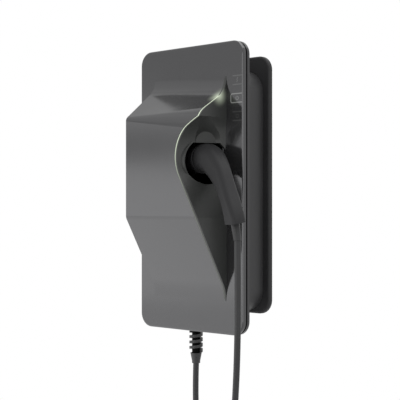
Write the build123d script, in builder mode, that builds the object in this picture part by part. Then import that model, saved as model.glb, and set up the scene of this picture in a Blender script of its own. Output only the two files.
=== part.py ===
from build123d import *
from math import cos, radians, sin, tan
import os

# Wall-mounted charging box for electric cars, with its plug parked in a side dock.
# Millimetres. X runs to the right, Y into the wall, Z up. The wall is the plane Y = 0 and the
# origin is the middle of the wall plate's bolt pattern. "Depth" below means distance out of the wall.

# Main panel
COVER_W = 252.0
COVER_H = 510.0
COVER_CORNER_R = 25.0
COVER_EDGE_R = 3.0
SHELL = 3.0

# Layers, from the wall outwards
PLATE_T = 9.0
HOUSING_DEPTH = 81.0
FRAME_T = 6.0
GASKET_T = 3.5
COVER_RIM = 7.5
HOUSING_REAR = PLATE_T
FRAME_REAR = HOUSING_REAR + HOUSING_DEPTH
GASKET_REAR = FRAME_REAR + FRAME_T
COVER_REAR = GASKET_REAR + GASKET_T
COVER_FACE = COVER_REAR + COVER_RIM

# Hump on the panel: rise and heights of its feet and shoulders at the left and the right end
STRIP_W = 38.0
HUMP_HALF_W = COVER_W / 2 - STRIP_W
HUMP_RISE = 74.0
HUMP_FOOT_LOW = 75.0 - COVER_H / 2
HUMP_SHOULDER_LOW = HUMP_FOOT_LOW + 128.0
HUMP_FOOT_LEFT = COVER_H / 2 - 71.0
HUMP_SHOULDER_LEFT = HUMP_FOOT_LEFT - 58.0
HUMP_FOOT_RIGHT = COVER_H / 2 - 87.0
HUMP_SHOULDER_RIGHT = HUMP_FOOT_RIGHT - 44.0
HUMP_FOOT_LOW_R = 60.0
HUMP_SHOULDER_LOW_R = 14.0
HUMP_SHOULDER_LEFT_R = 10.0
HUMP_SHOULDER_RIGHT_R = 46.0
HUMP_FOOT_LEFT_R = 40.0
HUMP_FOOT_RIGHT_R = 46.0
HUMP_RUN_OUT = 30.0
FOOT_LEDGE = 8.0

# Scoop in the hump's right end: an arc between two straight runs on the front, narrowing to a line at the panel
SCOOP_R = 66.0
SCOOP_LEAD = 18.0
SCOOP_Z = HUMP_SHOULDER_LEFT - 73.0
SCOOP_TOP_LEAN = 36.0
SCOOP_LEAN = 28.8
SCOOP_ROOT = 4.0
INSERT_T = 3.0
GUIDE_W = 2.2
GUIDE_DEEP = 6.0
SEAM = 0.1

# Dock for the plug
DOCK_X = HUMP_HALF_W - 21.2
DOCK_DEPTH = COVER_FACE + 29.4
DOCK_Z = SCOOP_Z - 7.0
DOCK_TURN = 68.0
MOUTH_R = 40.0
MOUTH_FLAT = 32.0
DOCK_WALL = 2.5
DOCK_CUP = 62.0
FLARE_R = 50.0
FLARE_LENGTH = 22.0
FLARE_TRIM = 0.8
THUMB_R = 19.5
THUMB_BACK = -1.0
THUMB_LENGTH = 26.0

# Plug: its axis lies a little aside of and above the dock's
PLUG_ASIDE = 2.0
PLUG_UP = 5.0
HEAD_W = 46.0
HEAD_H = 48.0
HEAD_CORNER_R = 21.0
HEAD_INSIDE = 10.0
NOSE_R = 26.0
NOSE_FLAT = 25.2
NOSE_WALL = 2.5
NOSE_LENGTH = 44.0
NOSE_PLAY = 0.3
CARRIER_R = 22.5
CARRIER_SHORT = 4.0
CONTACT_R = 3.0
CONTACT_SHORT = 3.0
CONTACT_PLAY = 0.15
SEAT_RIBS = 6
SEAT_RIB_W = 4.0
# Handle sections: reach along the dock's axis, drop from it, droop in degrees, width, thickness, corner radius
HANDLE_SECTIONS = [
    (-HEAD_INSIDE, 0.0, 0.0, HEAD_W, HEAD_H, HEAD_CORNER_R),
    (13.0, 1.5, 11.0, HEAD_W, HEAD_H, HEAD_CORNER_R - 1.0),
    (37.0, 14.5, 35.0, 36.0, 43.0, 14.0),
    (70.0, 48.0, 48.0, 28.0, 33.0, 10.0),
    (100.0, 93.0, 62.0, 27.0, 33.0, 8.0),
    (112.0, 127.0, 80.0, 26.0, 31.0, 8.0),
]
# Slanted end of the grip: its reach, its drop and its tilt towards the wall in degrees
END_REACH = 107.0
END_DROP = 110.5
END_TILT = 12.0
BOOT_TOP_D = 15.0
BOOT_END_D = 12.5
BOOT_REACH = 115.7
BOOT_DROP = 139.0
BOOT_END_Z = DOCK_Z + PLUG_UP - BOOT_DROP

# Rear housing, wall plate and what fastens them
HOUSING_W = 178.0
HOUSING_H = 436.0
HOUSING_Z = -4.0
HOUSING_CORNER_R = 40.0
HOUSING_DRAFT = 4.0
PLATE_W = 206.0
PLATE_H = 466.0
PLATE_Z = 7.0
PLATE_CORNER_R = 26.0
PLATE_EDGE_R = 4.0
BOLT_SPACING_X = 140.0
BOLT_SPACING_Z = 380.0
BOLT_HOLE_R = 3.5
FRAME_OPENING_W = 161.0
FRAME_OPENING_H = 340.0
FRAME_OPENING_R = 20.0
GASKET_INSET = 4.0
GASKET_W = 8.0

# Fasteners
SCREW_R = 1.9
SCREW_HEAD_R = 3.8
SCREW_HEAD_T = 2.4
BOSS_R = 4.5
SCREW_PLAY = 0.1
COVER_SCREW_X = COVER_W / 2 - 18.0
COVER_SCREW_Z = COVER_H / 2 - 27.0
COVER_SCREW_BITE = 11.0
FRAME_SCREW_X = HOUSING_W / 2 - 27.0
FRAME_SCREW_HIGH = HOUSING_Z + HOUSING_H / 2 - 28.0
FRAME_SCREW_LOW = HOUSING_Z - HOUSING_H / 2 + 26.0
FRAME_SCREW_BITE = 16.0
PLATE_SCREW_X = HOUSING_W / 2 - 23.0
PLATE_SCREW_HIGH = HOUSING_Z + HOUSING_H / 2 - 38.0
PLATE_SCREW_LOW = HOUSING_Z - HOUSING_H / 2 + 40.0

# Electronics
BOARD_T = 1.6
BOARD_STANDOFF = 10.0
MAIN_BOARD_W = HOUSING_W - 38.0
MAIN_BOARD_H = HOUSING_H - 106.0
MAIN_BOARD_Z = HOUSING_Z - 6.0
BOARD_SCREW_X = MAIN_BOARD_W / 2 - 8.0
BOARD_SCREW_HIGH = MAIN_BOARD_Z + MAIN_BOARD_H / 2 - 11.0
BOARD_SCREW_LOW = MAIN_BOARD_Z - MAIN_BOARD_H / 2 + 5.5
CARD_H = 110.0
CARD_OUT = 34.0
CARD_X = 10.0 - MAIN_BOARD_W / 2
CARD_Z = -40.0
CARD_FOOT_W = 7.0
CARD_FOOT_T = 6.0
TERMINAL_W = MAIN_BOARD_W / 2 - 8.0
TERMINAL_H = 26.0
TERMINAL_T = 32.0
TERMINAL_X = MAIN_BOARD_W / 2 - TERMINAL_W / 2 - 5.0
TERMINAL_Z = MAIN_BOARD_Z - MAIN_BOARD_H / 2 + 23.0
TERMINAL_WAYS = 5
TERMINAL_BORE_R = 3.0
OUTPUT_W = 40.0
OUTPUT_T = 34.0
RELAY_W = 38.0
RELAY_H = 52.0
RELAY_T = 34.0
RELAY_X = MAIN_BOARD_W / 2 - 36.0
RELAY_Z = -95.0
SENSOR_R = 23.0
SENSOR_BORE_R = 10.0
SENSOR_T = 16.0
SENSOR_X = -8.0
SENSOR_Z = -25.0
SUPPLY_W = 66.0
SUPPLY_H = 48.0
SUPPLY_T = 28.0
SUPPLY_X = MAIN_BOARD_W / 2 - 46.0
SUPPLY_Z = 112.0
LIGHT_BOARD_H = 18.0
LIGHT_BOARD_DEEP = 10.0
LIGHT_BOARD_Z = SCOOP_Z + 83.0
LIGHT_BOARD_UP = 6.0

# Status frames on the right strip, open to the panel's edge
STATUS_LEFT = HUMP_HALF_W + 9.0
STATUS_RIGHT = COVER_W / 2 - 3.5
STATUS_H = 17.0
STATUS_LINE = 1.8
STATUS_CORNER_R = 3.0
STATUS_PITCH = 31.1
STATUS_TOP = HUMP_FOOT_LEFT + 1.8
STATUS_HEIGHTS = [STATUS_TOP, STATUS_TOP - STATUS_PITCH, STATUS_TOP - 2 * STATUS_PITCH]
STATUS_BOARD_W = STATUS_RIGHT - STATUS_LEFT - 0.5
STATUS_BOARD_H = 92.0
STATUS_BOARD_GAP = 1.4

# Cable entry
GLAND_X = 51.0 - HOUSING_W / 2
GLAND_DEPTH = 50.0
GLAND_PAD_R = 20.0
GLAND_PAD_BOTTOM = HOUSING_Z - HOUSING_H / 2 - 1.0
GLAND_PAD_TOP = GLAND_PAD_BOTTOM + 10.0
GLAND_THREAD_R = 12.5
GLAND_THREAD_TOP = GLAND_PAD_TOP + 14.0
GLAND_HEX_ACROSS = 32.0
GLAND_HEX_T = 10.0
GLAND_DOME_R = 13.5
GLAND_DOME_BOTTOM = GLAND_PAD_BOTTOM - 34.0
LOCKNUT_T = 7.0
GLAND_PLAY = 0.1
RELIEF_CORE_R = 7.6
RELIEF_FIN_R = 12.6
RELIEF_FIN_T = 5.2
RELIEF_PITCH = 10.0
RELIEF_FIN_TOP = GLAND_DOME_BOTTOM - 4.0
RELIEF_TURNS = 3.6
RELIEF_SLEEVE_R = 10.6
RELIEF_SLEEVE_TOP = GLAND_DOME_BOTTOM - 46.0
RELIEF_END = GLAND_DOME_BOTTOM - 65.0
RELIEF_END_R = 7.0
SUPPLY_BORE_X = HOUSING_W / 2 - 49.0
SUPPLY_BORE_Z = HOUSING_Z - HOUSING_H / 2 + 28.0
SUPPLY_BORE_R = 7.0
GROMMET_R = 13.0
GROMMET_LIP_R = 16.0
GROMMET_LIP_T = 2.5

# Charging cable: two free strands and a strapped coil below the box
CABLE_D = 11.0
TAIL_PLAY = 0.3
COIL_Z = RELIEF_END - 183.0
COIL_MID_R = 66.0
COIL_RADIAL = 34.0
COIL_WIDE = 46.0
COIL_CORNER_R = 12.0
STRAP_T = 2.5
STRAP_W = 20.0
ARC_SHARE = 0.45
# Points of the two strands: distance from the start or from the coil's centre line, and height
GLAND_BULGE = [(-4.3, RELIEF_END - 44.0), (-0.3, RELIEF_END - 90.0)]
GLAND_LEAD_IN = [(-108.0, COIL_Z + 47.0), (-84.0, COIL_Z + 5.0), (-61.0, COIL_Z - 36.0)]
PLUG_BULGE = [(2.3, BOOT_END_Z - 102.0), (-2.2, BOOT_END_Z - 196.0), (-14.7, BOOT_END_Z - 278.0)]
PLUG_LEAD_IN = [(95.0, COIL_Z + 69.0), (78.0, COIL_Z + 13.0), (61.0, COIL_Z - 36.0)]


def front_plane(depth):
    """Plane facing the viewer at a depth out of the wall; its x and y are X and Z."""
    return Plane(origin=(0, -depth, 0), x_dir=(1, 0, 0), z_dir=(0, -1, 0))


def side_plane(x):
    """Plane across the box at X = x; its x is depth out of the wall and its y is Z."""
    return Plane(origin=(x, 0, 0), x_dir=(0, -1, 0), z_dir=(-1, 0, 0))


def level_plane(x, depth, z):
    """Level plane at a height, centred on a point, for upright round parts."""
    return Plane(origin=(x, -depth, z))


DOCK_OUT = Vector(sin(radians(DOCK_TURN)), -cos(radians(DOCK_TURN)), 0)
DOCK_SIDE = Vector(cos(radians(DOCK_TURN)), sin(radians(DOCK_TURN)), 0)


def dock_plane(reach):
    """Plane across the dock's axis at a reach out of the mouth."""
    return Plane(origin=Vector(DOCK_X, -DOCK_DEPTH, DOCK_Z) + DOCK_OUT * reach, x_dir=DOCK_SIDE, z_dir=DOCK_OUT)


def plug_plane(reach, drop=0.0, droop=0.0):
    """Plane across the plug at a reach out of the mouth, dropped below its axis and tipped down by the droop."""
    axis = Vector(DOCK_X, -DOCK_DEPTH, DOCK_Z + PLUG_UP - drop) + DOCK_SIDE * PLUG_ASIDE
    normal = DOCK_OUT * cos(radians(droop)) + Vector(0, 0, -sin(radians(droop)))
    return Plane(origin=axis + DOCK_OUT * reach, x_dir=DOCK_SIDE, z_dir=normal)


def hump_body(inset, right_inset, base):
    """The hump as a loft from its left profile to its right one, drawn in by an inset."""
    with BuildPart() as body:
        left = (HUMP_SHOULDER_LEFT, HUMP_FOOT_LEFT, HUMP_SHOULDER_LEFT_R, HUMP_FOOT_LEFT_R)
        right = (HUMP_SHOULDER_RIGHT, HUMP_FOOT_RIGHT, HUMP_SHOULDER_RIGHT_R, HUMP_FOOT_RIGHT_R)
        for x, (shoulder, foot, shoulder_r, foot_r) in (
            (-HUMP_HALF_W + inset, left),
            (HUMP_HALF_W - right_inset, right),
        ):
            top = HUMP_FOOT_LEFT + HUMP_RUN_OUT
            bottom = HUMP_FOOT_LOW - HUMP_RUN_OUT
            outer = COVER_FACE + HUMP_RISE
            with BuildSketch(side_plane(x)):
                with BuildLine():
                    outline = FilletPolyline(
                        (COVER_FACE, bottom),
                        (COVER_FACE, HUMP_FOOT_LOW),
                        (outer, HUMP_SHOULDER_LOW),
                        (outer, shoulder),
                        (COVER_FACE, foot),
                        (COVER_FACE, top),
                        radius=[HUMP_FOOT_LOW_R, HUMP_SHOULDER_LOW_R, shoulder_r, foot_r],
                    )
                    Polyline(outline @ 1, (base - inset, top), (base - inset, bottom), outline @ 0)
                make_face()
                if inset > 0:
                    offset(amount=-inset, kind=Kind.INTERSECTION)
        loft(ruled=True)
    return body.part


def scoop_cutter(shift):
    """Everything right of the scoop wall, which is drawn to the left by a shift."""
    edge = HUMP_HALF_W - shift
    arc_top = 90 + SCOOP_TOP_LEAN
    arc_low = 180 + SCOOP_LEAN
    top_rise = (SCOOP_R * sin(radians(SCOOP_TOP_LEAN)) - SCOOP_LEAD) * tan(radians(SCOOP_TOP_LEAN))
    line_top = SCOOP_Z + SCOOP_R * cos(radians(SCOOP_TOP_LEAN)) + top_rise
    low_drop = (SCOOP_R * cos(radians(SCOOP_LEAN)) - SCOOP_LEAD) / tan(radians(SCOOP_LEAN))
    line_end = SCOOP_Z - SCOOP_R * sin(radians(SCOOP_LEAN)) - low_drop
    high = HUMP_FOOT_LEFT + 2 * HUMP_RUN_OUT
    low = HUMP_FOOT_LOW - 2 * HUMP_RUN_OUT
    with BuildPart() as cutter:
        for out in (0.0, HUMP_RISE + SCOOP_ROOT):
            scale = (out + SCOOP_ROOT) / (HUMP_RISE + SCOOP_ROOT)
            with BuildSketch(front_plane(COVER_FACE + out)):
                with BuildLine():
                    arc = EllipticalCenterArc(
                        (edge + SCOOP_LEAD * scale, SCOOP_Z), SCOOP_R * scale, SCOOP_R, arc_top,
                        arc_size=arc_low - arc_top,
                    )
                    Polyline(
                        arc @ 1, (edge, line_end), (edge, low), (COVER_W, low), (COVER_W, high),
                        (edge, high), (edge, line_top), arc @ 0,
                    )
                make_face()
        loft(ruled=True)
    return cutter.part


def save(piece, name):
    """Labels a finished piece and writes its STEP file."""
    piece.part.label = name
    export_step(piece.part, f"parts/{name}.step")


os.makedirs("parts", exist_ok=True)

COVER_SCREWS = [
    (side * COVER_SCREW_X, height) for side in (-1, 1) for height in (-COVER_SCREW_Z, 0.0, COVER_SCREW_Z)
]
FRAME_SCREWS = [
    (side * FRAME_SCREW_X, height) for side in (-1, 1) for height in (FRAME_SCREW_LOW, FRAME_SCREW_HIGH)
]
PLATE_SCREWS = [
    (side * PLATE_SCREW_X, height) for side in (-1, 1) for height in (PLATE_SCREW_LOW, PLATE_SCREW_HIGH)
]
BOARD_SCREWS = [
    (side * BOARD_SCREW_X, height) for side in (-1, 1) for height in (BOARD_SCREW_LOW, BOARD_SCREW_HIGH)
]
FLOOR_DEPTH = HOUSING_REAR + SHELL
BOARD_REAR = FLOOR_DEPTH + BOARD_STANDOFF
BOARD_FACE = BOARD_REAR + BOARD_T

# Wall plate: screwed to the wall first, with the housing screwed on to it from inside
with BuildPart() as wall_plate:
    with BuildSketch(front_plane(0)):
        with Locations((0, PLATE_Z)):
            RectangleRounded(PLATE_W, PLATE_H, PLATE_CORNER_R)
    extrude(amount=PLATE_T)
    fillet(wall_plate.faces().sort_by(Axis.Y)[0].edges(), PLATE_EDGE_R)
    with BuildSketch(front_plane(0)):
        with GridLocations(BOLT_SPACING_X, BOLT_SPACING_Z, 2, 2):
            Circle(BOLT_HOLE_R)
        with Locations(PLATE_SCREWS):
            Circle(SCREW_R + SCREW_PLAY)
        with Locations((SUPPLY_BORE_X, SUPPLY_BORE_Z)):
            Circle(GROMMET_LIP_R)
    extrude(amount=PLATE_T, mode=Mode.SUBTRACT)
save(wall_plate, "wall_plate")

# Rear housing: drafted box, open at the front, with bosses and a flat pad for the cable gland
with BuildPart() as rear_housing:
    with BuildSketch(front_plane(HOUSING_REAR)):
        with Locations((0, HOUSING_Z)):
            RectangleRounded(HOUSING_W, HOUSING_H, HOUSING_CORNER_R)
    extrude(amount=HOUSING_DEPTH, taper=HOUSING_DRAFT)
    with BuildSketch(level_plane(GLAND_X, GLAND_DEPTH, GLAND_PAD_BOTTOM)):
        Circle(GLAND_PAD_R)
    extrude(amount=GLAND_PAD_TOP - GLAND_PAD_BOTTOM)
    with BuildSketch(front_plane(FLOOR_DEPTH)) as cavity:
        with Locations((0, HOUSING_Z)):
            RectangleRounded(HOUSING_W - 2 * SHELL, HOUSING_H - 2 * SHELL, HOUSING_CORNER_R - SHELL)
    extrude(amount=HOUSING_DEPTH - SHELL, taper=HOUSING_DRAFT, mode=Mode.SUBTRACT)
    with BuildSketch(level_plane(GLAND_X, GLAND_DEPTH, GLAND_PAD_BOTTOM)):
        Circle(GLAND_PAD_R)
    extrude(amount=GLAND_PAD_TOP - GLAND_PAD_BOTTOM)
    with BuildSketch(level_plane(GLAND_X, GLAND_DEPTH, GLAND_PAD_BOTTOM)):
        Circle(GLAND_THREAD_R + GLAND_PLAY)
    extrude(amount=GLAND_PAD_TOP - GLAND_PAD_BOTTOM, mode=Mode.SUBTRACT)
    with BuildSketch(front_plane(HOUSING_REAR)):
        with Locations(FRAME_SCREWS):
            Circle(BOSS_R)
    extrude(amount=HOUSING_DEPTH)
    with BuildSketch(front_plane(FLOOR_DEPTH)):
        with Locations(BOARD_SCREWS):
            Circle(BOSS_R)
    extrude(amount=BOARD_STANDOFF)
    with BuildSketch(front_plane(FRAME_REAR - FRAME_SCREW_BITE)):
        with Locations(FRAME_SCREWS):
            Circle(SCREW_R + SCREW_PLAY)
    extrude(amount=FRAME_SCREW_BITE, mode=Mode.SUBTRACT)
    with BuildSketch(front_plane(FLOOR_DEPTH)):
        with Locations(BOARD_SCREWS):
            Circle(SCREW_R + SCREW_PLAY)
    extrude(amount=BOARD_STANDOFF, mode=Mode.SUBTRACT)
    with BuildSketch(front_plane(HOUSING_REAR)):
        with Locations(PLATE_SCREWS):
            Circle(SCREW_R + SCREW_PLAY)
        with Locations((SUPPLY_BORE_X, SUPPLY_BORE_Z)):
            Circle(GROMMET_R)
    extrude(amount=SHELL, mode=Mode.SUBTRACT)
save(rear_housing, "rear_housing")

# Front frame: the band behind the shadow gap, open in the middle
with BuildPart() as front_frame:
    with BuildSketch(front_plane(FRAME_REAR)):
        RectangleRounded(COVER_W, COVER_H, COVER_CORNER_R)
        with Locations((0, HOUSING_Z)):
            RectangleRounded(FRAME_OPENING_W, FRAME_OPENING_H, FRAME_OPENING_R, mode=Mode.SUBTRACT)
        with Locations(COVER_SCREWS + FRAME_SCREWS):
            Circle(SCREW_R + SCREW_PLAY, mode=Mode.SUBTRACT)
    extrude(amount=FRAME_T)
    with BuildSketch(front_plane(GASKET_REAR - SCREW_HEAD_T)):
        with Locations(FRAME_SCREWS):
            Circle(SCREW_HEAD_R + SCREW_PLAY)
    extrude(amount=SCREW_HEAD_T, mode=Mode.SUBTRACT)
save(front_frame, "front_frame")

# Gasket: set back from the panel's edge, so that it shows as a dark gap
with BuildPart() as cover_gasket:
    with BuildSketch(front_plane(GASKET_REAR)):
        RectangleRounded(
            COVER_W - 2 * GASKET_INSET, COVER_H - 2 * GASKET_INSET, COVER_CORNER_R - GASKET_INSET
        )
        offset(amount=-GASKET_W, mode=Mode.SUBTRACT)
    extrude(amount=GASKET_T)
save(cover_gasket, "cover_gasket")

# Status frames: three light guides, each a rounded bracket open to the panel's right edge
with BuildPart() as status_frames:
    with BuildSketch(front_plane(COVER_FACE - SHELL - STATUS_BOARD_GAP)):
        for height in STATUS_HEIGHTS:
            with BuildLine():
                FilletPolyline(
                    (STATUS_RIGHT, height + (STATUS_H - STATUS_LINE) / 2),
                    (STATUS_LEFT + STATUS_LINE / 2, height + (STATUS_H - STATUS_LINE) / 2),
                    (STATUS_LEFT + STATUS_LINE / 2, height - (STATUS_H - STATUS_LINE) / 2),
                    (STATUS_RIGHT, height - (STATUS_H - STATUS_LINE) / 2),
                    radius=STATUS_CORNER_R,
                )
                offset(amount=STATUS_LINE / 2, kind=Kind.TANGENT)
            make_face()
    extrude(amount=SHELL + STATUS_BOARD_GAP)
save(status_frames, "status_frames")

# Front cover: hollow panel and hump, open where the dock insert and the light guide close it
hump = hump_body(0.0, 0.0, COVER_FACE - SHELL)
hump_hollow = hump_body(SHELL, FOOT_LEDGE, COVER_REAR)
guide_outer_cut = scoop_cutter(INSERT_T + GUIDE_W + SEAM)
with BuildPart() as front_cover:
    with BuildSketch(front_plane(COVER_REAR)):
        RectangleRounded(COVER_W, COVER_H, COVER_CORNER_R)
    extrude(amount=COVER_RIM)
    fillet(front_cover.faces().sort_by(Axis.Y)[0].edges(), COVER_EDGE_R)
    add(hump)
    add(guide_outer_cut, mode=Mode.SUBTRACT)
    add(hump_hollow, mode=Mode.SUBTRACT)
    with BuildSketch(front_plane(COVER_REAR)):
        RectangleRounded(COVER_W - 2 * SHELL, COVER_H - 2 * SHELL, COVER_CORNER_R - SHELL)
    extrude(amount=COVER_RIM - SHELL, mode=Mode.SUBTRACT)
    with BuildSketch(front_plane(GASKET_REAR)):
        with Locations(COVER_SCREWS):
            Circle(BOSS_R)
            Circle(SCREW_R + SCREW_PLAY, mode=Mode.SUBTRACT)
    extrude(amount=GASKET_T + COVER_RIM - SHELL)
    add(status_frames.part, mode=Mode.SUBTRACT)
save(front_cover, "front_cover")

# Light guide: a strip let into the scoop's edge, flush with the hump
guide_outside = scoop_cutter(INSERT_T + GUIDE_W)
guide_inner_cut = scoop_cutter(INSERT_T + SEAM)
hump_core = hump_body(GUIDE_DEEP, -SHELL, COVER_FACE)
with BuildPart() as light_guide:
    add(hump)
    add(guide_outside, mode=Mode.INTERSECT)
    add(guide_inner_cut, mode=Mode.SUBTRACT)
    add(hump_core, mode=Mode.SUBTRACT)
    split(bisect_by=front_plane(COVER_FACE + SEAM), keep=Keep.TOP)
save(light_guide, "light_guide")

# Dock insert: lines the scoop and forms a collar, a thumb recess above the mouth and the cup for the plug's nose
scoop_space = scoop_cutter(0.0)
scoop_lining = scoop_cutter(INSERT_T)
inside_shell = hump_body(SHELL + SEAM, SHELL, COVER_REAR - HOUSING_DEPTH)
below_face = hump_body(FLARE_TRIM, 0.0, COVER_FACE)
rim_r = MOUTH_R + DOCK_WALL
with BuildPart() as scoop_wall:
    add(hump)
    add(scoop_lining, mode=Mode.INTERSECT)
    add(scoop_space, mode=Mode.SUBTRACT)
    split(bisect_by=front_plane(COVER_FACE), keep=Keep.TOP)
with BuildPart() as collar_outside:
    with BuildSketch(dock_plane(-FLARE_LENGTH)):
        Circle(FLARE_R)
    with BuildSketch(dock_plane(0)):
        Circle(rim_r)
    loft()
    add(below_face, mode=Mode.INTERSECT)
    add(scoop_space, mode=Mode.INTERSECT)
with BuildPart() as cup:
    with BuildSketch(dock_plane(-DOCK_CUP - DOCK_WALL)):
        Circle(rim_r)
    extrude(amount=DOCK_CUP + DOCK_WALL + FLARE_LENGTH)
    add(scoop_space, mode=Mode.SUBTRACT)
    add(inside_shell, mode=Mode.INTERSECT)
with BuildPart() as thumb_wall:
    for reach, radius in ((-DOCK_WALL, THUMB_R), (THUMB_LENGTH, THUMB_R + THUMB_LENGTH)):
        with BuildSketch(dock_plane(THUMB_BACK + reach)):
            with Locations((0, MOUTH_FLAT)):
                Circle(radius + DOCK_WALL)
    loft()
    add(scoop_space, mode=Mode.SUBTRACT)
    add(inside_shell, mode=Mode.INTERSECT)
with BuildPart() as thumb_recess:
    for reach in (0.0, THUMB_LENGTH):
        with BuildSketch(dock_plane(THUMB_BACK + reach)):
            with Locations((0, MOUTH_FLAT)):
                Circle(THUMB_R + reach)
    loft()
    split(bisect_by=Plane(origin=(0, 0, DOCK_Z + MOUTH_FLAT)), keep=Keep.TOP)
with BuildPart() as dock_insert:
    add(scoop_wall.part)
    add(collar_outside.part)
    add(cup.part)
    add(thumb_wall.part)
    add(thumb_recess.part, mode=Mode.SUBTRACT)
    with BuildSketch(dock_plane(-DOCK_CUP)):
        Circle(MOUTH_R)
        with Locations((0, MOUTH_FLAT + MOUTH_R)):
            Rectangle(2 * MOUTH_R, 2 * MOUTH_R, mode=Mode.SUBTRACT)
    extrude(amount=DOCK_CUP + 2 * FLARE_LENGTH, mode=Mode.SUBTRACT)
    with BuildSketch(dock_plane(-DOCK_CUP)):
        with Locations((PLUG_ASIDE, PLUG_UP)):
            with PolarLocations(0, SEAT_RIBS):
                Rectangle(4 * MOUTH_R, SEAT_RIB_W)
        Circle(MOUTH_R, mode=Mode.INTERSECT)
        with Locations((PLUG_ASIDE, PLUG_UP)):
            Circle(NOSE_R + NOSE_PLAY, mode=Mode.SUBTRACT)
    extrude(amount=NOSE_LENGTH - CARRIER_SHORT)
    add(front_cover.part, mode=Mode.SUBTRACT)
    add(light_guide.part, mode=Mode.SUBTRACT)
save(dock_insert, "dock_insert")

# Plug handle: rounded sections carried from the round head down to the grip's slanted end
end_normal = Vector(0, 0, -cos(radians(END_TILT))) + DOCK_SIDE * sin(radians(END_TILT))
grip_end = Plane(origin=plug_plane(END_REACH, END_DROP).origin, x_dir=DOCK_OUT, z_dir=end_normal)
with BuildPart() as plug_handle:
    for reach, drop, droop, wide, thick, corner in HANDLE_SECTIONS:
        with BuildSketch(plug_plane(reach, drop, droop)):
            RectangleRounded(wide, thick, corner)
    loft()
    with BuildSketch(grip_end):
        Rectangle(4 * HEAD_W, 4 * HEAD_H)
    extrude(amount=HEAD_H, mode=Mode.SUBTRACT)
save(plug_handle, "plug_handle")

# Plug nose: the flat-topped shroud inside the cup
with BuildPart() as plug_nose:
    with BuildSketch(plug_plane(-HEAD_INSIDE - NOSE_LENGTH)):
        Circle(NOSE_R)
        with Locations((0, NOSE_FLAT + NOSE_R)):
            Rectangle(2 * NOSE_R, 2 * NOSE_R, mode=Mode.SUBTRACT)
        offset(amount=-NOSE_WALL, mode=Mode.SUBTRACT)
    extrude(amount=NOSE_LENGTH)
save(plug_nose, "plug_nose")

# Contact carrier with seven sockets, and the contacts in them
contact_layout = [(0, -13.5), (-13.5, -6.0), (13.5, -6.0), (-8.0, 6.5), (8.0, 6.5), (-16.0, 8.0), (16.0, 8.0)]
carrier_length = NOSE_LENGTH - CARRIER_SHORT
with BuildPart() as plug_carrier:
    with BuildSketch(plug_plane(-HEAD_INSIDE - carrier_length)):
        Circle(CARRIER_R)
    extrude(amount=carrier_length)
    with BuildSketch(plug_plane(-HEAD_INSIDE - carrier_length)):
        with Locations(contact_layout):
            Circle(CONTACT_R + CONTACT_PLAY)
    extrude(amount=carrier_length - CONTACT_SHORT, mode=Mode.SUBTRACT)
save(plug_carrier, "plug_carrier")

with BuildPart() as plug_contacts:
    with BuildSketch(plug_plane(-HEAD_INSIDE - carrier_length + CONTACT_SHORT)):
        with Locations(contact_layout):
            Circle(CONTACT_R)
            Circle(CONTACT_R / 2, mode=Mode.SUBTRACT)
    extrude(amount=carrier_length - 2 * CONTACT_SHORT)
save(plug_contacts, "plug_contacts")

# Cable boot: from the handle's slanted end to the hanging cable
boot_end = plug_plane(BOOT_REACH, BOOT_DROP).origin
with BuildPart() as plug_boot:
    with BuildSketch(grip_end):
        Circle(BOOT_TOP_D / 2)
    with BuildSketch(Plane(origin=boot_end, x_dir=DOCK_OUT, z_dir=(0, 0, -1))):
        Circle(BOOT_END_D / 2)
    loft()
save(plug_boot, "plug_boot")

# Cable gland: thread through the pad, hexagon and clamping dome, with a nut inside
with BuildPart() as gland_body:
    with BuildSketch(level_plane(GLAND_X, GLAND_DEPTH, GLAND_DOME_BOTTOM)):
        Circle(GLAND_DOME_R)
    extrude(amount=GLAND_PAD_BOTTOM - GLAND_HEX_T - GLAND_DOME_BOTTOM)
    with BuildSketch(level_plane(GLAND_X, GLAND_DEPTH, GLAND_PAD_BOTTOM - GLAND_HEX_T)):
        RegularPolygon(GLAND_HEX_ACROSS / 2, 6, major_radius=False)
    extrude(amount=GLAND_HEX_T)
    with BuildSketch(level_plane(GLAND_X, GLAND_DEPTH, GLAND_PAD_BOTTOM)):
        Circle(GLAND_THREAD_R)
    extrude(amount=GLAND_THREAD_TOP - GLAND_PAD_BOTTOM)
    with BuildSketch(level_plane(GLAND_X, GLAND_DEPTH, GLAND_DOME_BOTTOM)):
        Circle(CABLE_D / 2 + TAIL_PLAY)
    extrude(amount=GLAND_THREAD_TOP - GLAND_DOME_BOTTOM, mode=Mode.SUBTRACT)
save(gland_body, "gland_body")

with BuildPart() as gland_locknut:
    with BuildSketch(level_plane(GLAND_X, GLAND_DEPTH, GLAND_PAD_TOP)):
        RegularPolygon(GLAND_HEX_ACROSS / 2, 6, major_radius=False)
        Circle(GLAND_THREAD_R + GLAND_PLAY, mode=Mode.SUBTRACT)
    extrude(amount=LOCKNUT_T)
save(gland_locknut, "gland_locknut")

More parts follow.
